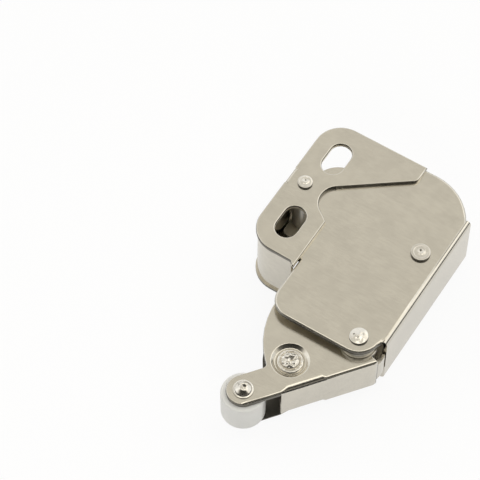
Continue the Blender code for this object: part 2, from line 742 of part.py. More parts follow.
def make_link(mat, pin_mat):
    """Flat link from the lever to the heart groove, with the pin that runs in the groove."""
    half = LINK_THICK / 2
    run = Vector(FOLLOWER_AT) - Vector(LINK_RIVET_AT)
    turn = math.atan2(run.y, run.x)
    neck = math.asin(LINK_WIDTH / 2 / LINK_EYE)
    outline = arc(LINK_RIVET_AT, LINK_EYE, turn + neck, turn + math.tau - neck)
    quarter = math.pi / 2
    outline += arc(FOLLOWER_AT, LINK_WIDTH / 2, turn - quarter, turn + quarter)
    link = prism("link", outline, -half, half, mat)
    drill(link, LINK_RIVET_AT, SHANK + RUN_GAP)
    drill(link, FOLLOWER_AT, FOLLOWER_RADIUS + HOLE_GAP)
    settle(link)
    smooth(link)
    seat = half + SEAT_GAP
    end = FOLLOWER_END
    top = seat + FOLLOWER_HEAD_HEIGHT
    tip, soft = FOLLOWER_TIP, FOLLOWER_HEAD_SOFT
    profile = [(0, end), (FOLLOWER_RADIUS - tip, end), (FOLLOWER_RADIUS, end + tip),
               (FOLLOWER_RADIUS, seat), (FOLLOWER_HEAD, seat), (FOLLOWER_HEAD, top - soft),
               (FOLLOWER_HEAD - soft, top), (0, top)]
    smooth(lathe("follower_pin", profile, FOLLOWER_AT, pin_mat, 16), 40)


def heart_paths():
    """Centre lines of the groove: up the left branch, over the top, down the right branch."""
    x, y = FOLLOWER_AT
    rest = (x, y)
    left_bend = (x + HEART_BEND[0], y + HEART_BEND[1])
    left_pocket = (x + HEART_POCKET[0], y + HEART_POCKET[1])
    valley = (x, y + HEART_VALLEY)
    right_pocket = (x - HEART_POCKET[0], y + HEART_POCKET[1])
    right_bend = (x - HEART_BEND[0], y + HEART_BEND[1])
    return [((rest, left_bend), (left_bend, left_pocket)), ((left_pocket, valley),),
            ((valley, right_pocket),), ((right_pocket, right_bend), (right_bend, rest))]


def make_cam_block(mat):
    """Moulded block, held on the upper sleeve and against the spine, with the heart groove."""
    reach = GROOVE_RADIUS + BLOCK_WALL
    right = SPINE_X - SHEET - BLOCK_SPINE_GAP
    left = FOLLOWER_AT[0] + HEART_POCKET[0] - reach
    low = FOLLOWER_AT[1] - reach
    high = FOLLOWER_AT[1] + HEART_POCKET[1] + reach
    r = BLOCK_CORNER
    quarter = math.pi / 2
    outline = arc((right - r, low + r), r, -quarter, 0, 6)
    outline += arc((right - r, high - r), r, 0, quarter, 6)
    outline += arc((left + r, high - r), r, quarter, math.pi, 6)
    outline += arc((left + r, low + r), r, math.pi, 3 * quarter, 6)
    block = prism("cam_block", outline, -COVER_INSIDE + BLOCK_GAP, BLOCK_TOP, mat)
    for step, runs in zip(GROOVE_STEPS, heart_paths()):
        floor = FOLLOWER_END - GROOVE_FLOOR_GAP - step
        for start, end in runs:
            cut = prism("cutter", stadium(start, end, GROOVE_RADIUS), floor, 1)
            combine(block, cut, "DIFFERENCE")
    drill(block, UPPER_RIVET_AT, SLEEVE_RADIUS + BLOCK_GAP)
    settle(block)
    smooth(block)


def spring_points():
    """Wire's centre line: lower leg by the link rivet, coil on the sleeve, leg to the upper sleeve."""
    leave = math.pi / 2 + WEB_ANGLE
    turns = COIL_TURNS + (leave + math.pi) / math.tau
    low = -COIL_PITCH * turns / 2
    per_turn = 16
    count = round(turns * per_turn)
    coil = []
    for i in range(count + 1):
        share = i / count
        x, y = polar(PIVOT_AT, COIL_RADIUS, leave - share * turns * math.tau)
        coil.append((x, y, low + COIL_PITCH * turns * share))
    press = LINK_RIVET_OUT - SPACER_RADIUS - WIRE_RADIUS - LEG_GAP
    foot_x, foot_y = web_point(press, LINK_RIVET_ALONG)
    end_x, end_y = web_point(press - LOWER_LEG_LEAN, LOWER_LEG_ALONG)
    lower = [(end_x, end_y, low), (foot_x, foot_y, low)]
    rest_x = UPPER_RIVET_AT[0] - SLEEVE_RADIUS - WIRE_RADIUS - LEG_GAP
    upper = [(rest_x, UPPER_RIVET_AT[1], -low), (rest_x, UPPER_LEG_LENGTH, -low)]
    return lower + coil + upper


def make_spring(mat):
    curve = bpy.data.curves.new("torsion_spring", "CURVE")
    curve.dimensions = "3D"
    curve.bevel_depth = WIRE_RADIUS * MM
    curve.bevel_resolution = 2
    curve.use_fill_caps = True
    spline = curve.splines.new("POLY")
    points = spring_points()
    spline.points.add(len(points) - 1)
    for slot, (x, y, z) in zip(spline.points, points):
        slot.co = (x * MM, y * MM, z * MM, 1.0)
    spring = bpy.data.objects.new("torsion_spring", curve)
    bpy.context.collection.objects.link(spring)
    curve.materials.append(mat)


def hang_on_axis(name, centre, pieces, parent=None):
    """Empty on a joint's axis, with its pieces' own places measured from it."""
    axis = bpy.data.objects.new(name, None)
    axis.empty_display_size = 2 * MM
    bpy.context.collection.objects.link(axis)
    place = Vector((centre[0] * MM, centre[1] * MM, 0))
    axis.location = place if parent is None else place - parent.matrix_world.translation
    axis.parent = parent
    bpy.context.view_layer.update()
    for piece in pieces:
        obj = bpy.data.objects[piece]
        obj.parent = axis
        obj.location = obj.location - place
    return axis


def hang_bodies():
    lever = hang_on_axis("lever_axis", PIVOT_AT, ("lever", "link_rivet", "roller_axle",
                                                  "link_spacer_upper", "link_spacer_lower"))
    hang_on_axis("link_axis", LINK_RIVET_AT, ("link", "follower_pin"), lever)
    hang_on_axis("roller_axis", AXLE_AT, ("roller",), lever)


def stand_on_floor():
    """Put the origin at the bottom centre of the whole latch's box."""
    pieces = [obj for obj in bpy.context.scene.objects if obj.type in ("MESH", "CURVE")]
    bpy.context.view_layer.update()
    corners = [obj.matrix_world @ Vector(corner) for obj in pieces for corner in obj.bound_box]
    low = [min(corner[i] for corner in corners) for i in range(3)]
    high = [max(corner[i] for corner in corners) for i in range(3)]
    shift = Vector((-(low[0] + high[0]) / 2, -(low[1] + high[1]) / 2, -low[2]))
    for obj in bpy.context.scene.objects:
        if obj.parent is None:
            obj.location = obj.location + shift


def main():
    clear_scene()
    nickel = material("nickel_sheet", (0.64, 0.6, 0.53), 0.28, 1.0)
    rivet = material("nickel_rivet", (0.7, 0.67, 0.6), 0.22, 1.0)
    steel = material("spring_steel", (0.45, 0.44, 0.42), 0.35, 1.0)
    nylon = material("white_nylon", (0.84, 0.84, 0.82), 0.45, 0.0)
    acetal = material("black_acetal", (0.03, 0.03, 0.03), 0.4, 0.0)
    make_cover(nickel)
    make_bracket(nickel)
    make_lever(nickel)
    make_rivets(rivet)
    make_sleeves(steel)
    make_roller(nylon)
    make_link(steel, rivet)
    make_cam_block(acetal)
    make_spring(steel)
    hang_bodies()
    stand_on_floor()


main()
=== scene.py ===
"""Finished pieces, materials, stage and camera for a mini touch latch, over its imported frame.

Lengths are in metres in the row frame: +Y runs along the spine away from the roller, +X points
out of the spine, and +Z is up through the peened rivet ends.
"""
import math

import bmesh
import bpy
from bpy.props import FloatProperty, FloatVectorProperty, PointerProperty
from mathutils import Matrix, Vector, noise
from mathutils.bvhtree import BVHTree


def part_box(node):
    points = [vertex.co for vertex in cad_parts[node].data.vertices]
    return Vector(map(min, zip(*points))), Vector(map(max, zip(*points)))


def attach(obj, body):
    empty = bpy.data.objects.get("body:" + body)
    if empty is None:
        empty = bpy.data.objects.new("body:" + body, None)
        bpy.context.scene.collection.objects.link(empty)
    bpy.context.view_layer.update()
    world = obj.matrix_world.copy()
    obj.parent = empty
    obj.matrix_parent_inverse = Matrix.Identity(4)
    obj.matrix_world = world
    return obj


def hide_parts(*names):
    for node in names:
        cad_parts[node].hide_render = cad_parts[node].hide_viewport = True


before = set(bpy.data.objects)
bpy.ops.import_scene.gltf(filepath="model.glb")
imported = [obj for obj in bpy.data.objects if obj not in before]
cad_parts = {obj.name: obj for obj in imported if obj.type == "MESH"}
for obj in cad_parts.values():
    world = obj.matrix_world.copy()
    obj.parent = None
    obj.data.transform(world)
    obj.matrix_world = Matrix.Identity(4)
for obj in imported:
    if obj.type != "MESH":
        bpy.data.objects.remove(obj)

bl_info = {
    "name": "Mini Touch Latch",
    "version": (1, 0, 0),
    "blender": (4, 5, 0),
    "location": "3D View > Sidebar > Latch",
    "description": "Finished pieces, materials and stage for a mini touch latch",
    "category": "Object",
}

MM = 0.001

# Camera, as the photograph was taken
VIEW_AZIMUTH = math.radians(32.477)
VIEW_ELEVATION = math.radians(58.155)
VIEW_DISTANCE = 329.07 * MM
VIEW_TARGET = Vector((-16.333, 4.402, -0.18)) * MM
VIEW_LENS = 172.77
SENSOR = 36.0

# Bores and shanks of the turned pieces
SHANK = 1.0 * MM
THIN_SHANK = 0.8 * MM
HOLE_GAP = 0.03 * MM
RUN_GAP = 0.1 * MM
SLEEVE_RADIUS = 2.0 * MM
PIVOT_SLEEVE_RADIUS = 1.5 * MM
SPACER_RADIUS = 1.8 * MM
FOLLOWER_RADIUS = 0.45 * MM
FOLLOWER_HEAD = 0.4 * MM

# Rounded edges of the turned pieces
NECK_ROUND = 0.03 * MM
FLUSH_ROUND = 0.04 * MM
RING_ROUND = 0.08 * MM
BORE_ROUND = 0.1 * MM
PIN_HEAD_ROUND = 0.16 * MM
PIN_TIP_ROUND = 0.25 * MM
ROLLER_ROUND = 0.34 * MM

# How near two points are to be merged, and how flat two faces of the CAD are to be joined
CAD_MERGE = 0.5e-6
OWN_MERGE = 1e-8
FLAT_ANGLE = math.radians(0.3)

# Steps round the turned pieces, and angles in degrees over which an edge stays sharp
RIVET_STEPS = 120
RING_STEPS = 64
ROLLER_STEPS = 128
PIN_STEPS = 48
CREASE = 40.0
SHEET_CREASE = 50.0
RIVET_CREASE = 34.0

# Folded sheet. A face is inside if another part of its own piece lies within INWARD_REACH of it.
# Insides take painted light on the cover and bracket and painted shade on the lever.
# A rim painted dark as shade is under RIM_TALLEST high, and the sheet behind it ends within
# RIM_REACH. Left of SEAM_X the bracket's plates lie clear of the cover
OUTSIDE_SLOT = 0
INSIDE_SLOT = 1
RIM_SLOT = 2
LOOK_START = 0.01 * MM
INWARD_REACH = 12 * MM
RIM_TALLEST = 0.65 * MM
RIM_INSET = 0.1 * MM
RIM_REACH = 0.7 * MM
SEAM_X = -4.75 * MM

# Peened ends, worked from PEEN_LIFT over their plate. A face beyond RIM_SHADE_SHARE of the radius
# whose normal rises less than STEEP is painted dark as shade. The widest side of a pricked pit is
# at FACET_TURN radians
RIM_SHADE_SLOT = 1
RIM_SHADE_SHARE = 0.92
STEEP = 0.5
FACET_TURN = 2.14
PEEN_LIFT = 0.05 * MM
PEEN_STEP = 0.06 * MM
BLOW_SIZE = 0.55 * MM
LEAN_RISE = 0.2 * MM
FLUSH_CONE = 0.37 * MM

# Torsion spring
COIL_RADIUS = 2.2 * MM
WIRE_RADIUS = 0.35 * MM
WIRE_GAP = 0.05 * MM
WEB_ANGLE = math.radians(52.0)
FULL_TURNS = 3
TURN_STEPS = 48
LEVER_LEG = 1.85 * MM
LEVER_LEG_BEND = 0.1 * MM
SLEEVE_LEG = 1.8 * MM

# Studio. A part's RISE is the sine of the height where it starts, is full, fades and ends, and its
# TOP only of where it fades and ends. Its TURN is where it starts and is full as a way comes round
# to the camera, or to the camera's right for the box; BACKDROP_TURN is where the backdrop fades
# and ends. A GAIN adds light to the even ceiling and a DEPTH takes a share of the light away
CEILING = 0.79
BACKDROP_TURN, BACKDROP_RISE, BACKDROP_GAIN = (-0.05, 0.2), (0.05, 0.12, 0.6, 0.76), 0.35
RING_TURN, RING_RISE, RING_GAIN = (-0.15, 0.0), (0.9, 0.93, 0.975, 0.99), 1.2
BOX_TURN, BOX_RISE, BOX_GAIN = (0.2, 0.34), (0.52, 0.62, 0.89, 0.94), 0.6
CURTAIN_TURN, CURTAIN_TOP, CURTAIN_DEPTH = (0.2, 0.4), (0.87, 0.94), 0.97
SILL_TURN, SILL_TOP, SILL_DEPTH = (-0.25, -0.05), (0.28, 0.4), 0.9
HORIZON_RISE, HORIZON_DEPTH = (-0.1, 0.0, 0.03, 0.1), 0.8
WINDOW_RISE, WINDOW_SHARE = (0.28, 0.36, 0.52, 0.6), 0.4
PLAIN_TINT = (1.0, 0.965, 0.88, 1.0)
BACKDROP_TINT = (1.0, 1.0, 0.98, 1.0)
WHITE = (1.0, 1.0, 1.0, 1.0)
FLOOR_SEEN = 0.9
FLOOR_MIRRORED = 0.55

# Lamps: name, azimuth from the camera's, elevation, distance, size, watts, seen in reflections
LAMPS = (
    ("Left lamp", -95.0, 35.0, 0.8, 0.5, 0.2, True),
    ("Right lamp", 100.0, 40.0, 0.8, 0.5, 0.2, False),
    ("Front lamp", 0.0, 30.0, 0.6, 0.25, 0.85, False),
)


class Shade:
    """A node's output that adds Math nodes when it is used in an expression."""

    def __init__(self, kit, socket):
        self.kit = kit
        self.socket = socket

    def maths(self, operation, first, second):
        values = {0: first, 1: second}
        return self.kit.add("ShaderNodeMath", {"operation": operation}, values)["Value"]

    def __add__(self, other):
        return self.maths("ADD", self, other)

    def __radd__(self, other):
        return self.maths("ADD", other, self)

    def __sub__(self, other):
        return self.maths("SUBTRACT", self, other)

    def __rsub__(self, other):
        return self.maths("SUBTRACT", other, self)

    def __mul__(self, other):
        return self.maths("MULTIPLY", self, other)

    def __rmul__(self, other):
        return self.maths("MULTIPLY", other, self)

    def smooth(self, start, end):
        """0 before start and 1 after end, with a soft change between them."""
        settings = {"interpolation_type": "SMOOTHSTEP"}
        values = {"Value": self, "From Min": start, "From Max": end}
        return self.kit.add("ShaderNodeMapRange", settings, values)["Result"]

    def band(self, start, full, fade, end):
        """0 before start and after end and 1 from full to fade, with soft changes between."""
        return self.smooth(start, full) * (1 - self.smooth(fade, end))


class Outputs:
    """A node's outputs by name, each as a Shade."""

    def __init__(self, kit, node):
        self.kit = kit
        self.node = node

    def __getitem__(self, name):
        socket = next(each for each in self.node.outputs if each.enabled and each.name == name)
        return Shade(self.kit, socket)


class Kit:
    """The node tree of one material or of the world."""

    def __init__(self, owner):
        owner.use_nodes = True
        self.tree = owner.node_tree
        self.tree.nodes.clear()

    def add(self, kind, settings=None, values=None):
        """Add a node, set it up, and then fill or link its sockets."""
        node = self.tree.nodes.new(kind)
        for name, value in (settings or {}).items():
            setattr(node, name, value)
        for key, value in (values or {}).items():
            socket = self.input(node, key)
            if isinstance(value, Shade):
                self.tree.links.new(value.socket, socket)
            else:
                socket.default_value = value
        return Outputs(self, node)

    def input(self, node, key):
        if isinstance(key, int):
            return node.inputs[key]
        return next(each for each in node.inputs if each.enabled and each.name == key)

    def place(self):
        return self.add("ShaderNodeTexCoord")["Object"]

    def grain(self, place, scale, detail=2.0, roughness=0.5):
        """Noise from 0 to 1 whose features are about 1 / scale across."""
        values = {"Vector": place, "Scale": scale, "Detail": detail, "Roughness": roughness}
        return self.add("ShaderNodeTexNoise", None, values)["Fac"]

    def stretched(self, place, scale):
        """The place with each axis scaled by its own factor."""
        values = {"Vector": place, "Scale": scale}
        return self.add("ShaderNodeMapping", None, values)["Vector"]

    def blend(self, share, first, second):
        """Colour from first to second as share goes from 0 to 1."""
        settings = {"data_type": "RGBA"}
        values = {"Factor": share, "A": first, "B": second}
        return self.add("ShaderNodeMix", settings, values)["Result"]

    def bump(self, height, strength, distance):
        values = {"Height": height, "Strength": strength, "Distance": distance}
        return self.add("ShaderNodeBump", None, values)["Normal"]

    def finish(self, shader, kind="ShaderNodeOutputMaterial"):
        self.add(kind, None, {"Surface": shader})


def opaque(colour, factor=1.0):
    return (colour[0] * factor, colour[1] * factor, colour[2] * factor, 1.0)


def new_material(name):
    material = bpy.data.materials.new(name)
    return material, Kit(material)


def tinted(colour, factor):
    return [part * factor for part in colour]


def nickel_plate(name, colour, roughness):
    """Satin plating over rolled sheet: faint clouds, fine pits and a rolling grain."""
    material, kit = new_material(name)
    place = kit.place()
    clouds = kit.grain(place, 420.0, detail=3.0, roughness=0.6)
    pits = kit.grain(place, 5200.0, roughness=0.6)
    rolled = kit.grain(kit.stretched(place, (0.35, 2.6, 1.0)), 2300.0)
    mix = clouds * 0.6 + rolled * 0.4
    base = kit.blend(mix.smooth(0.3, 0.7), opaque(colour, 0.95), opaque(colour, 1.05))
    rough = roughness + (clouds - 0.5) * 0.1 + (pits - 0.5) * 0.06
    height = pits * 0.5 + rolled * 0.3 + clouds * 0.8
    values = {"Base Color": base, "Metallic": 1.0, "Roughness": rough,
              "Normal": kit.bump(height, 0.12, 0.01 * MM)}
    kit.finish(kit.add("ShaderNodeBsdfPrincipled", None, values)["BSDF"])
    return material


def hammered_plate(name, colour, roughness):
    """Bright plating on a peened end, uneven from the blows that spread it."""
    material, kit = new_material(name)
    place = kit.place()
    blows = kit.grain(place, 1500.0, detail=1.0)
    scuffs = kit.grain(place, 6000.0, detail=3.0, roughness=0.65)
    base = kit.blend(blows, opaque(colour, 0.86), opaque(colour, 1.08))
    rough = roughness + (scuffs - 0.5) * 0.16
    height = blows + scuffs * 0.35
    values = {"Base Color": base, "Metallic": 1.0, "Roughness": rough,
              "Normal": kit.bump(height, 0.3, 0.015 * MM)}
    kit.finish(kit.add("ShaderNodeBsdfPrincipled", None, values)["BSDF"])
    return material


def drawn_steel(name, colour, roughness, along):
    """Plain steel under oil, its drawing or turning marks stretched by a factor on each axis."""
    material, kit = new_material(name)
    place = kit.place()
    lines = kit.grain(kit.stretched(place, along), 2600.0, detail=3.0)
    oil = kit.grain(place, 650.0)
    base = kit.blend(oil, opaque(colour, 0.72), opaque(colour, 1.05))
    rough = roughness + (lines - 0.5) * 0.2 + (oil - 0.5) * 0.1
    values = {"Base Color": base, "Metallic": 1.0, "Roughness": rough,
              "Normal": kit.bump(lines, 0.35, 0.01 * MM)}
    kit.finish(kit.add("ShaderNodeBsdfPrincipled", None, values)["BSDF"])
    return material


def moulded_plastic(name, colour, roughness, wear):
    """Moulded plastic with a soft sheen, its flow marks darker by a share called wear."""
    material, kit = new_material(name)
    place = kit.place()
    flow = kit.grain(place, 500.0)
    fine = kit.grain(place, 4200.0)
    base = kit.blend(flow, opaque(colour, 1.0 - wear), opaque(colour))
    rough = roughness + (fine - 0.5) * 0.12
    values = {"Base Color": base, "Roughness": rough,
              "Normal": kit.bump(fine * 0.4 + flow * 0.6, 0.2, 0.012 * MM)}
    kit.finish(kit.add("ShaderNodeBsdfPrincipled", None, values)["BSDF"])
    return material


def node_middle(node):
    low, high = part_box(node)
    return (Vector(low) + Vector(high)) / 2


def add_piece(edit, node, body, materials, crease=CREASE):
    """Make the finished piece that stands for a CAD node and rides on its body."""
    name = node.replace("_", " ").title().replace(" ", "") + "Finished"
    mesh = bpy.data.meshes.new(name)
    edit.to_mesh(mesh)
    edit.free()
    for material in materials:
        mesh.materials.append(material)
    mesh.shade_smooth()
    mesh.set_sharp_from_angle(angle=math.radians(crease))
    piece = bpy.data.objects.new(name, mesh)
    bpy.context.scene.collection.objects.link(piece)
    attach(piece, body)
    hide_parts(node)
    return piece


def merged_copy(node):
    """A CAD node's loose triangles as one closed mesh with whole flat faces."""
    edit = bmesh.new()
    edit.from_mesh(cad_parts[node].data)
    bmesh.ops.remove_doubles(edit, verts=edit.verts, dist=CAD_MERGE)
    bmesh.ops.dissolve_limit(edit, angle_limit=FLAT_ANGLE, verts=edit.verts, edges=edit.edges)
    return edit


def weigh_normals(piece):
    """Keep flat faces flat, so that only the rolled edges shade as round."""
    modifier = piece.modifiers.new("flat faces", "WEIGHTED_NORMAL")
    modifier.mode = "FACE_AREA"
    modifier.weight = 90
    modifier.keep_sharp = True


def turned(centre, profile, steps, closed):
    """Turned shape about Z from points of radius and height, the ends on the axis or joined."""
    edit = bmesh.new()
    points = [edit.verts.new((centre.x + radius, centre.y, height)) for radius, height in profile]
    pairs = list(zip(points, points[1:]))
    if closed:
        pairs.append((points[-1], points[0]))
    edges = [edit.edges.new(pair) for pair in pairs]
    bmesh.ops.spin(edit, geom=points + edges, cent=(centre.x, centre.y, 0.0), axis=(0, 0, 1),
                   angle=math.tau, steps=steps, use_merge=True)
    bmesh.ops.remove_doubles(edit, verts=edit.verts, dist=OWN_MERGE)
    bmesh.ops.recalc_face_normals(edit, faces=edit.faces)
    return edit


def round_corner(before, corner, after, radius, steps):
    """Points that round one corner of a profile."""
    corner = Vector(corner)
    into = (Vector(before) - corner).normalized() * radius
    out = (Vector(after) - corner).normalized() * radius
    points = []
    for i in range(steps + 1):
        share = i / steps
        point = corner + into * (1 - share) ** 2 + out * share ** 2
        points.append(tuple(point))
    return points


def soft_profile(points, radii, steps=4):
    """An open profile whose corners are rounded by their own radii, 0 for a sharp one."""
    result = []
    last = len(points) - 1
    for i, (point, radius) in enumerate(zip(points, radii)):
        if radius == 0 or i in (0, last):
            result.append(tuple(point))
        else:
            result += round_corner(points[i - 1], point, points[i + 1], radius, steps)
    return result


def fine_profile(points, radii, step):
    """Rounded profile with a point at least every step along it."""
    soft = soft_profile(points, radii)
    result = [soft[0]]
    for before, after in zip(soft, soft[1:]):
        parts = max(1, math.ceil(math.dist(before, after) / step))
        for i in range(1, parts + 1):
            result.append(tuple(Vector(before).lerp(Vector(after), i / parts)))
    return result


def punch(edit, level, at, width, depth):
    """Press a shallow round pit into everything above a level."""
    for vert in edit.verts:
        away = (vert.co.xy - at).length
        if vert.co.z > level and away < width:
            vert.co.z -= depth * (1 - away / width)


def prick(edit, level, at, far, near, depth):
    """Press a small three-sided pit whose side at FACET_TURN is the widest."""
    facings = [Vector((math.cos(FACET_TURN + math.tau * i / 3),
                       math.sin(FACET_TURN + math.tau * i / 3))) for i in range(3)]
    for vert in edit.verts:
        away = vert.co.xy - at
        reach = max(away.dot(facings[0]) / far, away.dot(facings[1]) / near,
                    away.dot(facings[2]) / near)
        if vert.co.z > level and reach < 1:
            vert.co.z -= depth * (1 - reach)


def hammer(edit, level, centre, radius, size, depth, lean):
    """Uneven blows all over a peened end, and the way that it leans."""
    for vert in edit.verts:
        rise = vert.co.z - level
        if rise < 0:
            continue
        away = vert.co.xy - centre.xy
        inside = max(0.0, 1.0 - (away.length / radius) ** 4)
        blow = noise.noise(Vector((vert.co.x, vert.co.y, 0.0)) / size)
        vert.co.z += depth * blow * inside + away.dot(Vector(lean)) * min(1.0, rise / LEAN_RISE)


# Rivets in millimetres: the lower head's radius, height and rounding, or None for one that is
# countersunk flush on a thin shank; the depth of the blows and the slope that they left; the
# end's profile over its plate and each corner's rounding; round pits as x, y, width and depth;
# and the pricked pit as x, y, reach to its widest side, reach to the others and depth
PEENED = {
    "upper_rivet": {
        "body": "housing", "head": (1.45, 0.5, 0.14), "blow": 0.012, "lean": (0.0, 0.0),
        "top": ((1.28, 0.0), (1.36, 0.1), (1.36, 0.4), (1.0, 0.43), (0.95, 0.40), (0.6, 0.43),
                (0.34, 0.52), (0.0, 0.54)),
        "soft": (0.0, 0.05, 0.06, 0.04, 0.05, 0.15, 0.05, 0.0),
        "pits": ((-0.11, 0.17, 0.58, 0.13),), "prick": (-0.07, 0.12, 0.28, 0.1, 0.21)},
    "pivot_rivet": {
        "body": "housing", "head": (1.45, 0.5, 0.14), "blow": 0.035, "lean": (0.06, 0.06),
        "top": ((1.22, 0.0), (1.3, 0.1), (1.3, 0.28), (0.65, 0.48), (0.0, 0.7)),
        "soft": (0.0, 0.05, 0.08, 0.3, 0.0),
        "pits": ((0.1, -0.5, 0.35, 0.06), (0.35, 0.3, 0.3, 0.05)),
        "prick": (-0.63, -0.26, 0.2, 0.08, 0.16)},
    "bracket_rivet": {
        "body": "housing", "head": None, "blow": 0.012, "lean": (0.0, 0.0),
        "top": ((0.98, 0.0), (1.06, 0.1), (1.06, 0.32), (0.8, 0.37), (0.74, 0.34), (0.55, 0.36),
                (0.32, 0.44), (0.0, 0.46)),
        "soft": (0.0, 0.05, 0.06, 0.03, 0.04, 0.1, 0.05, 0.0),
        "pits": ((-0.08, 0.26, 0.48, 0.12),), "prick": (-0.04, 0.2, 0.26, 0.09, 0.18)},
    "roller_axle": {
        "body": "lever", "head": (1.45, 0.5, 0.14), "blow": 0.03, "lean": (0.02, 0.0),
        "top": ((1.42, 0.0), (1.42, 0.14), (1.2, 0.2), (1.1, 0.34), (0.5, 0.74),
                (0.0, 0.86)),
        "soft": (0.0, 0.04, 0.05, 0.08, 0.14, 0.0),
        "pits": ((0.1, 0.25, 0.6, 0.08),), "prick": (0.14, 0.12, 0.55, 0.16, 0.42)},
}


def peen_seat(node):
    """Height of the plate's face that a rivet is spread over."""
    plate = {"bracket_rivet": "mounting_bracket", "roller_axle": "lever"}.get(node, "housing_cover")
    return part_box(plate)[1][2]


def rivet_profile(node, facts, seat, step):
    """Whole rivet from the middle of its lower head to the middle of its peened end."""
    low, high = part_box(node)
    bottom = low[2]
    if facts["head"] is None:
        wide = (high[0] - low[0]) / 2
        points = [(0.0, bottom), (wide, bottom), (THIN_SHANK, bottom + FLUSH_CONE)]
        lower = soft_profile(points, (0.0, FLUSH_ROUND, 0.0)) + [(THIN_SHANK, seat)]
    else:
        wide, tall, soft = [size * MM for size in facts["head"]]
        points = [(0.0, bottom), (wide, bottom), (wide, bottom + tall), (SHANK, bottom + tall)]
        lower = soft_profile(points, (0.0, soft, NECK_ROUND, 0.0)) + [(SHANK, seat)]
    top = [(out * MM, seat + up * MM) for out, up in facts["top"]]
    return lower + fine_profile(top, [soft * MM for soft in facts["soft"]], step)


def build_rivet(node, facts, material, rim):
    """One rivet with its peened, pitted upper end, and painted shade on that end's side."""
    centre = node_middle(node)
    seat = peen_seat(node)
    level = seat + PEEN_LIFT
    edit = turned(centre, rivet_profile(node, facts, seat, PEEN_STEP), RIVET_STEPS, False)
    radius = facts["top"][0][0] * MM
    hammer(edit, level, centre, radius, BLOW_SIZE, facts["blow"] * MM, facts["lean"])
    for x, y, width, depth in facts["pits"]:
        punch(edit, level, centre.xy + Vector((x, y)) * MM, width * MM, depth * MM)
    x, y, far, near, depth = facts["prick"]
    prick(edit, level, centre.xy + Vector((x, y)) * MM, far * MM, near * MM, depth * MM)
    # Painted shade: the steep outer side of the end takes the dark rim material
    for face in edit.faces:
        middle = face.calc_center_median()
        outside = (middle - centre).xy.length >= radius * RIM_SHADE_SHARE
        if outside and middle.z > level and abs(face.normal.z) < STEEP:
            face.material_index = RIM_SHADE_SLOT
    add_piece(edit, node, facts["body"], (material, rim), RIVET_CREASE)


# The rivet in the lever's dish, in the same way. Its end is tall over its seat, and is worked from
# lift over that
LINK_RIVET = {
    "head": (1.65, 0.45, 0.12), "tall": 0.8, "step": 0.07, "lift": 0.12,
    "blow": 0.12, "blow_size": 0.32,
    "top": ((1.9, 0.0), (1.97, 0.1), (1.74, 0.38), (1.5, 0.42), (1.36, 0.28), (1.2, 0.58),
            (0.7, 0.78), (0.0, 0.8)),
    "soft": (0.0, 0.05, 0.08, 0.05, 0.04, 0.1, 0.15, 0.0),
    "pits": ((0.05, 0.15, 0.55, 0.5), (-0.45, -0.3, 0.4, 0.25), (0.5, -0.35, 0.4, 0.25),
             (0.45, 0.6, 0.35, 0.2)),
}


def build_link_rivet(material):
    """Rivet in the lever's dish: a spread flange round a small pitted dome."""
    facts = LINK_RIVET
    centre = node_middle("link_rivet")
    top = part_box("link_rivet")[1][2]
    seat = top - facts["tall"] * MM
    profile = rivet_profile("link_rivet", facts, seat, facts["step"] * MM)
    edit = turned(centre, profile, RIVET_STEPS, False)
    level = seat + facts["lift"] * MM
    hammer(edit, level, centre, facts["top"][0][0] * MM, facts["blow_size"] * MM,
           facts["blow"] * MM, (0.0, 0.0))
    for x, y, width, depth in facts["pits"]:
        punch(edit, level, centre.xy + Vector((x, y)) * MM, width * MM, depth * MM)
    for vert in edit.verts:
        vert.co.z = min(vert.co.z, top + PEEN_LIFT)
    add_piece(edit, "link_rivet", "lever", (material,), RIVET_CREASE)


RINGS = {
    "upper_sleeve": ("housing", SHANK + HOLE_GAP),
    "pivot_sleeve": ("housing", SHANK + HOLE_GAP),
    "bracket_sleeve": ("housing", THIN_SHANK + HOLE_GAP),
    "pivot_washer_upper": ("housing", PIVOT_SLEEVE_RADIUS + HOLE_GAP),
    "pivot_washer_lower": ("housing", PIVOT_SLEEVE_RADIUS + HOLE_GAP),
    "link_spacer_upper": ("lever", SHANK + HOLE_GAP),
    "link_spacer_lower": ("lever", SHANK + HOLE_GAP),
}


def build_ring(node, body, bore, material):
    """Sleeve, washer or spacer with broken edges."""
    low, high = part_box(node)
    centre = node_middle(node)
    outer = (high[0] - low[0]) / 2
    soft = min(RING_ROUND, (high[2] - low[2]) / 4)
    middle = centre.z
    points = [(bore, middle), (bore, low[2]), (outer, low[2]), (outer, high[2]), (bore, high[2]),
              (bore, middle)]
    profile = soft_profile(points, (0, soft, soft, soft, soft, 0))[:-1]
    edit = turned(centre, profile, RING_STEPS, True)
    add_piece(edit, node, body, (material,))


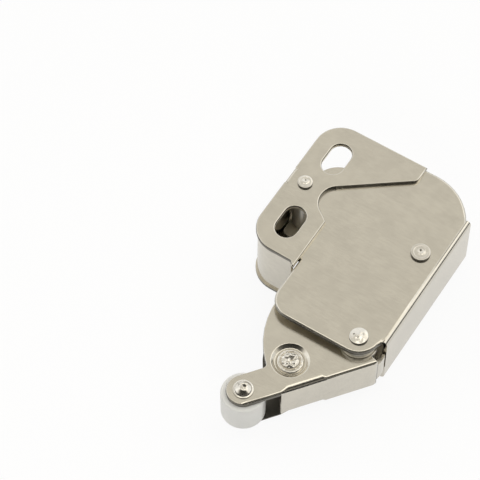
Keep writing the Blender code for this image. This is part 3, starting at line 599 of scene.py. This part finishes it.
def spring_path():
    """Centre line of the wire: leg on the lever's spacer, coil, leg on the upper sleeve."""
    pivot = node_middle("pivot_sleeve")
    link = node_middle("link_rivet")
    upper = node_middle("upper_sleeve")
    low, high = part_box("torsion_spring")
    z_low, z_high = low[2] + WIRE_RADIUS, high[2] - WIRE_RADIUS
    leave = math.pi / 2 + WEB_ANGLE
    turns = FULL_TURNS + (leave + math.pi) / math.tau
    along = Vector((-math.cos(WEB_ANGLE), -math.sin(WEB_ANGLE)))
    out = Vector((math.sin(WEB_ANGLE), -math.cos(WEB_ANGLE)))
    foot = link.xy - out * (SPACER_RADIUS + WIRE_RADIUS + WIRE_GAP)
    tip = foot + along * LEVER_LEG - out * LEVER_LEG_BEND
    rest_x = upper.x - SLEEVE_RADIUS - WIRE_RADIUS - WIRE_GAP
    count = round(turns * TURN_STEPS)
    path = [Vector((tip.x, tip.y, z_low)), Vector((foot.x, foot.y, z_low))]
    for i in range(count + 1):
        share = i / count
        turn = leave - share * turns * math.tau
        point = pivot.xy + Vector((math.cos(turn), math.sin(turn))) * COIL_RADIUS
        path.append(Vector((point.x, point.y, z_low + (z_high - z_low) * share)))
    path.append(Vector((rest_x, upper.y, z_high)))
    path.append(Vector((rest_x, upper.y + SLEEVE_LEG, z_high)))
    return path


def build_spring(material):
    """Round wire swept along the spring's path."""
    curve = bpy.data.curves.new("spring path", "CURVE")
    curve.dimensions = "3D"
    curve.bevel_depth = WIRE_RADIUS
    curve.bevel_resolution = 6
    curve.use_fill_caps = True
    spline = curve.splines.new("POLY")
    path = spring_path()
    spline.points.add(len(path) - 1)
    for point, place in zip(spline.points, path):
        point.co = (*place, 1.0)
    helper = bpy.data.objects.new("spring path", curve)
    mesh = bpy.data.meshes.new_from_object(helper)
    bpy.data.objects.remove(helper)
    edit = bmesh.new()
    edit.from_mesh(mesh)
    bmesh.ops.remove_doubles(edit, verts=edit.verts, dist=OWN_MERGE)
    bmesh.ops.recalc_face_normals(edit, faces=edit.faces)
    add_piece(edit, "torsion_spring", "housing", (material,), SHEET_CREASE)


def build_roller(material):
    """Roller with rounded rims."""
    low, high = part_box("roller")
    centre = node_middle("roller")
    radius = (high[0] - low[0]) / 2
    half = (high[2] - low[2]) / 2
    bore = SHANK + RUN_GAP
    points = [(bore, 0.0), (bore, -half), (radius, -half), (radius, half), (bore, half),
              (bore, 0.0)]
    soft = (0, BORE_ROUND, ROLLER_ROUND, ROLLER_ROUND, BORE_ROUND, 0)
    profile = soft_profile(points, soft, steps=6)[:-1]
    profile = [(out, centre.z + up) for out, up in profile]
    edit = turned(centre, profile, ROLLER_STEPS, True)
    add_piece(edit, "roller", "roller", (material,))


def build_follower(material):
    """Follower pin with a rounded tip and a low head."""
    low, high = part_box("follower_pin")
    centre = node_middle("follower_pin")
    wide = (high[0] - low[0]) / 2
    pin = FOLLOWER_RADIUS
    neck = high[2] - FOLLOWER_HEAD
    points = [(0.0, low[2]), (pin, low[2]), (pin, neck), (wide, neck), (wide, high[2]),
              (0.0, high[2])]
    soft = (0, PIN_TIP_ROUND, 0, FLUSH_ROUND, PIN_HEAD_ROUND, 0)
    profile = soft_profile(points, soft, steps=5)
    edit = turned(centre, profile, PIN_STEPS, False)
    add_piece(edit, "follower_pin", "link", (material,))


def mark_inside(edit, tree):
    """Mark the sheet faces that look at another part of the same piece, for painted light and
    shade.
    """
    for face in edit.faces:
        start = face.calc_center_median() + face.normal * LOOK_START
        if tree.ray_cast(start, face.normal, INWARD_REACH)[0] is not None:
            face.material_index = INSIDE_SLOT


def mark_rims(edit, tree, middle, right):
    """Mark the plates' cut rims left of a line, where the sheet ends just below or above, for
    painted shade.
    """
    for face in edit.faces:
        heights = [corner.co.z for corner in face.verts]
        narrow = abs(face.normal.z) < STEEP and max(heights) - min(heights) < RIM_TALLEST
        start = face.calc_center_median() - face.normal * RIM_INSET
        if face.material_index == OUTSIDE_SLOT and narrow and start.x < right:
            way = Vector((0.0, 0.0, -1.0 if start.z > middle else 1.0))
            if tree.ray_cast(start, way, RIM_REACH)[0] is not None:
                face.material_index = RIM_SLOT


def build_copy(node, body, material):
    """Smooth-shaded copy of a CAD node whose own shape is right."""
    weigh_normals(add_piece(merged_copy(node), node, body, (material,)))


def build_sheet(node, body, plate, inside, rim, right=math.inf):
    """Smooth-shaded copy of folded sheet, with painted light and shade inside and painted shade on
    its rims.
    """
    edit = merged_copy(node)
    tree = BVHTree.FromBMesh(edit)
    mark_inside(edit, tree)
    mark_rims(edit, tree, node_middle(node).z, right)
    weigh_normals(add_piece(edit, node, body, (plate, inside, rim), SHEET_CREASE))


def build_floor(colour):
    """Round floor that shows white, keeps the latch's shadow and is clear from below."""
    edit = bmesh.new()
    bmesh.ops.create_circle(edit, cap_ends=True, segments=96, radius=0.7)
    mesh = bpy.data.meshes.new("Floor")
    edit.to_mesh(mesh)
    edit.free()
    floor = bpy.data.objects.new("Floor", mesh)
    bpy.context.scene.collection.objects.link(floor)
    material, kit = new_material("pale floor")
    place = kit.place()
    paper = kit.grain(place, 60.0, detail=3.0)
    tone = kit.blend(paper, opaque(colour, 0.985), opaque(colour))
    matt = kit.add("ShaderNodeBsdfDiffuse", None, {"Color": tone})["BSDF"]
    glow = kit.add("ShaderNodeEmission", None, {"Color": WHITE, "Strength": 1.0})
    path = kit.add("ShaderNodeLightPath")
    seen = path["Is Camera Ray"] * FLOOR_SEEN
    mirrored = (path["Is Glossy Ray"] + path["Is Transmission Ray"]) * FLOOR_MIRRORED
    values = {0: seen + mirrored, 1: matt, 2: glow["Emission"]}
    paved = kit.add("ShaderNodeMixShader", None, values)["Shader"]
    clear = kit.add("ShaderNodeBsdfTransparent")["BSDF"]
    values = {0: kit.add("ShaderNodeNewGeometry")["Backfacing"], 1: paved, 2: clear}
    kit.finish(kit.add("ShaderNodeMixShader", None, values)["Shader"])
    mesh.materials.append(material)


def build_world(level):
    """Soft studio round the camera's own way.

    The ceiling is even, with a bright ring near its top. A pale backdrop faces the camera and a
    bright box hangs at its right. Behind it is a dark curtain with a dim window and a dark sill,
    and the horizon is dark all round.
    """
    world = bpy.data.worlds.new("Soft studio")
    bpy.context.scene.world = world
    kit = Kit(world)
    place = kit.add("ShaderNodeTexCoord")["Generated"]
    axes = kit.add("ShaderNodeSeparateXYZ", None, {"Vector": place})
    x, y, up = axes["X"], axes["Y"], axes["Z"]
    sine, cosine = math.sin(VIEW_AZIMUTH), math.cos(VIEW_AZIMUTH)
    toward = x * sine - y * cosine
    side = x * cosine + y * sine
    backdrop = (1 - toward.smooth(*BACKDROP_TURN)) * up.band(*BACKDROP_RISE)
    ring = toward.smooth(*RING_TURN) * up.band(*RING_RISE)
    box = side.smooth(*BOX_TURN) * up.band(*BOX_RISE)
    window = up.band(*WINDOW_RISE) * WINDOW_SHARE
    curtain = toward.smooth(*CURTAIN_TURN) * (1 - up.smooth(*CURTAIN_TOP)) * (1 - window)
    sill = toward.smooth(*SILL_TURN) * (1 - up.smooth(*SILL_TOP))
    horizon = up.band(*HORIZON_RISE)
    glow = CEILING + backdrop * BACKDROP_GAIN + ring * RING_GAIN + box * BOX_GAIN
    for shade, depth in ((curtain, CURTAIN_DEPTH), (sill, SILL_DEPTH), (horizon, HORIZON_DEPTH)):
        glow = glow * (1 - shade * depth)
    tint = kit.blend(backdrop, PLAIN_TINT, BACKDROP_TINT)
    studio = kit.add("ShaderNodeBackground", None, {"Color": tint, "Strength": glow * level})
    white = kit.add("ShaderNodeBackground", None, {"Color": WHITE, "Strength": 1.0})
    seen = kit.add("ShaderNodeLightPath")["Is Camera Ray"]
    values = {0: seen, 1: studio["Background"], 2: white["Background"]}
    kit.finish(kit.add("ShaderNodeMixShader", None, values)["Shader"], "ShaderNodeOutputWorld")


def way_to(azimuth, elevation):
    """Unit vector towards an azimuth, counted from -Y towards +X, and an elevation."""
    flat = math.cos(elevation)
    return Vector((math.sin(azimuth) * flat, -math.cos(azimuth) * flat, math.sin(elevation)))


def aim(thing, place, target):
    thing.location = place
    thing.rotation_euler = (target - place).to_track_quat("-Z", "Y").to_euler()


def add_lamp(name, azimuth, elevation, distance, size, watts, mirrored):
    """Square soft lamp round the latch, its azimuth counted from the camera's."""
    light = bpy.data.lights.new(name, "AREA")
    light.shape = "SQUARE"
    light.size = size
    light.energy = watts
    lamp = bpy.data.objects.new(name, light)
    lamp.visible_glossy = mirrored
    bpy.context.scene.collection.objects.link(lamp)
    turn = VIEW_AZIMUTH + math.radians(azimuth)
    rise = math.radians(elevation)
    middle = Vector((0.0, 0.0, 5 * MM))
    aim(lamp, middle + way_to(turn, rise) * distance, middle)


def add_camera():
    camera = bpy.data.cameras.new("Camera")
    camera.lens = VIEW_LENS
    camera.sensor_width = SENSOR
    camera.clip_start = 0.01
    camera.clip_end = 10.0
    eye = bpy.data.objects.new("Camera", camera)
    bpy.context.scene.collection.objects.link(eye)
    way = way_to(VIEW_AZIMUTH, VIEW_ELEVATION)
    aim(eye, VIEW_TARGET + way * VIEW_DISTANCE, VIEW_TARGET)
    bpy.context.scene.camera = eye


class LatchFinish(bpy.types.PropertyGroup):
    """Colours and finishes of the latch's pieces."""

    sheet_colour: FloatVectorProperty(
        name="Sheet colour", description="Colour of the plated sheet metal", subtype="COLOR",
        size=3, min=0.0, max=1.0, default=(0.645, 0.612, 0.54))
    rivet_colour: FloatVectorProperty(
        name="Rivet colour", description="Colour of the rivets' plating", subtype="COLOR",
        size=3, min=0.0, max=1.0, default=(0.72, 0.69, 0.63))
    steel_colour: FloatVectorProperty(
        name="Steel colour", description="Colour of the hidden steel pieces", subtype="COLOR",
        size=3, min=0.0, max=1.0, default=(0.7, 0.68, 0.63))
    roller_colour: FloatVectorProperty(
        name="Roller colour", description="Colour of the roller's plastic", subtype="COLOR",
        size=3, min=0.0, max=1.0, default=(0.8, 0.8, 0.78))
    cam_colour: FloatVectorProperty(
        name="Cam block colour", description="Colour of the cam block's plastic",
        subtype="COLOR", size=3, min=0.0, max=1.0, default=(0.012, 0.011, 0.01))
    sheet_roughness: FloatProperty(
        name="Sheet roughness", description="How satin the plated sheet is", subtype="FACTOR",
        min=0.0, max=1.0, default=0.19)
    rivet_roughness: FloatProperty(
        name="Rivet roughness", description="How satin the rivets are", subtype="FACTOR",
        min=0.0, max=1.0, default=0.2)


class LatchStage(bpy.types.PropertyGroup):
    """Floor and light round the latch."""

    floor_colour: FloatVectorProperty(
        name="Floor colour", description="Colour of the floor", subtype="COLOR", size=3,
        min=0.0, max=1.0, default=(0.92, 0.92, 0.92))
    light_level: FloatProperty(
        name="Light level", description="Brightness of the studio round the latch", min=0.0,
        max=3.0, default=1.0)


class LATCH_OT_sheet_metal(bpy.types.Operator):
    """Finish the folded sheet pieces: cover, mounting bracket and lever"""

    bl_idname = "latch.sheet_metal"
    bl_label = "Sheet Metal"

    def execute(self, context):
        finish = context.scene.latch_finish
        plate = nickel_plate("nickel sheet", finish.sheet_colour, finish.sheet_roughness)
        # Inside materials: the lever's is darkened as painted shade, the cover's and bracket's
        # lightened as painted light; their higher roughness is real
        shaded_inside = nickel_plate("painted shade inside", tinted(finish.sheet_colour, 0.22), 0.4)
        matt = nickel_plate("painted light inside", tinted(finish.sheet_colour, 1.48), 0.65)
        # Rim material: painted shade on the plates' cut edges, darker than the sheet
        shaded_rim = nickel_plate("painted shade sheet rim", tinted(finish.sheet_colour, 0.3), 0.3)
        build_sheet("housing_cover", "housing", plate, matt, shaded_rim)
        build_sheet("mounting_bracket", "housing", plate, matt, shaded_rim, SEAM_X)
        build_sheet("lever", "lever", plate, shaded_inside, shaded_rim)
        return {"FINISHED"}


class LATCH_OT_rivets(bpy.types.Operator):
    """Build the rivets and the roller's axle with their peened ends"""

    bl_idname = "latch.rivets"
    bl_label = "Rivets"

    def execute(self, context):
        finish = context.scene.latch_finish
        plate = hammered_plate("nickel rivet", finish.rivet_colour, finish.rivet_roughness)
        # Dark rim material: painted shade on the peened ends' steep sides
        rim = hammered_plate("painted shade rivet rim", tinted(finish.rivet_colour, 0.2), 0.45)
        for node, facts in PEENED.items():
            build_rivet(node, facts, plate, rim)
        build_link_rivet(plate)
        return {"FINISHED"}


class LATCH_OT_rings(bpy.types.Operator):
    """Build the sleeves, washers and spacers"""

    bl_idname = "latch.rings"
    bl_label = "Sleeves and Washers"

    def execute(self, context):
        finish = context.scene.latch_finish
        steel = drawn_steel("turned steel", finish.steel_colour, 0.38, (1.0, 1.0, 7.0))
        for node, (body, bore) in RINGS.items():
            build_ring(node, body, bore, steel)
        return {"FINISHED"}


class LATCH_OT_roller(bpy.types.Operator):
    """Build the roller at the lever's nose"""

    bl_idname = "latch.roller"
    bl_label = "Roller"

    def execute(self, context):
        finish = context.scene.latch_finish
        build_roller(moulded_plastic("roller plastic", finish.roller_colour, 0.35, 0.06))
        return {"FINISHED"}


class LATCH_OT_cam(bpy.types.Operator):
    """Finish the link, its follower pin and the block with the heart-shaped groove"""

    bl_idname = "latch.cam"
    bl_label = "Heart Cam"

    def execute(self, context):
        finish = context.scene.latch_finish
        block = moulded_plastic("cam plastic", finish.cam_colour, 0.45, 0.3)
        build_copy("cam_block", "housing", block)
        steel = drawn_steel("link steel", finish.steel_colour, 0.34, (5.0, 1.0, 1.0))
        build_copy("link", "link", steel)
        pin = hammered_plate("pin plating", finish.rivet_colour, finish.rivet_roughness)
        build_follower(pin)
        return {"FINISHED"}


class LATCH_OT_spring(bpy.types.Operator):
    """Build the torsion spring that pushes the lever out"""

    bl_idname = "latch.spring"
    bl_label = "Torsion Spring"

    def execute(self, context):
        finish = context.scene.latch_finish
        build_spring(drawn_steel("spring wire", finish.steel_colour, 0.3, (1.0, 1.0, 3.0)))
        return {"FINISHED"}


class LATCH_OT_stage(bpy.types.Operator):
    """Set the floor, the soft light and the camera"""

    bl_idname = "latch.stage"
    bl_label = "Stage"

    def execute(self, context):
        scene = context.scene
        scene.view_settings.view_transform = "Standard"
        build_floor(scene.latch_stage.floor_colour)
        build_world(scene.latch_stage.light_level)
        for lamp in LAMPS:
            add_lamp(*lamp)
        add_camera()
        return {"FINISHED"}


class LATCH_PT_panel(bpy.types.Panel):
    """Lists the steps that finish the latch"""

    bl_idname = "LATCH_PT_panel"
    bl_label = "Mini Touch Latch"
    bl_space_type = "VIEW_3D"
    bl_region_type = "UI"
    bl_category = "Latch"

    def draw(self, context):
        layout = self.layout
        for group in (context.scene.latch_finish, context.scene.latch_stage):
            box = layout.box()
            for name in group.bl_rna.properties.keys():
                if name not in ("rna_type", "name"):
                    box.prop(group, name)
        for operator in OPERATORS:
            layout.operator(operator.bl_idname)


OPERATORS = (LATCH_OT_sheet_metal, LATCH_OT_rivets, LATCH_OT_rings, LATCH_OT_roller,
             LATCH_OT_cam, LATCH_OT_spring, LATCH_OT_stage)
CLASSES = (LatchFinish, LatchStage) + OPERATORS + (LATCH_PT_panel,)


def register():
    for each in CLASSES:
        bpy.utils.register_class(each)
    bpy.types.Scene.latch_finish = PointerProperty(type=LatchFinish)
    bpy.types.Scene.latch_stage = PointerProperty(type=LatchStage)


def unregister():
    del bpy.types.Scene.latch_stage
    del bpy.types.Scene.latch_finish
    for each in reversed(CLASSES):
        bpy.utils.unregister_class(each)


def main():
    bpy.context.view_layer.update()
    register()
    bpy.ops.latch.sheet_metal()
    bpy.ops.latch.rivets()
    bpy.ops.latch.rings()
    bpy.ops.latch.roller()
    bpy.ops.latch.cam()
    bpy.ops.latch.spring()
    bpy.ops.latch.stage()


if __name__ == "__main__":
    main()
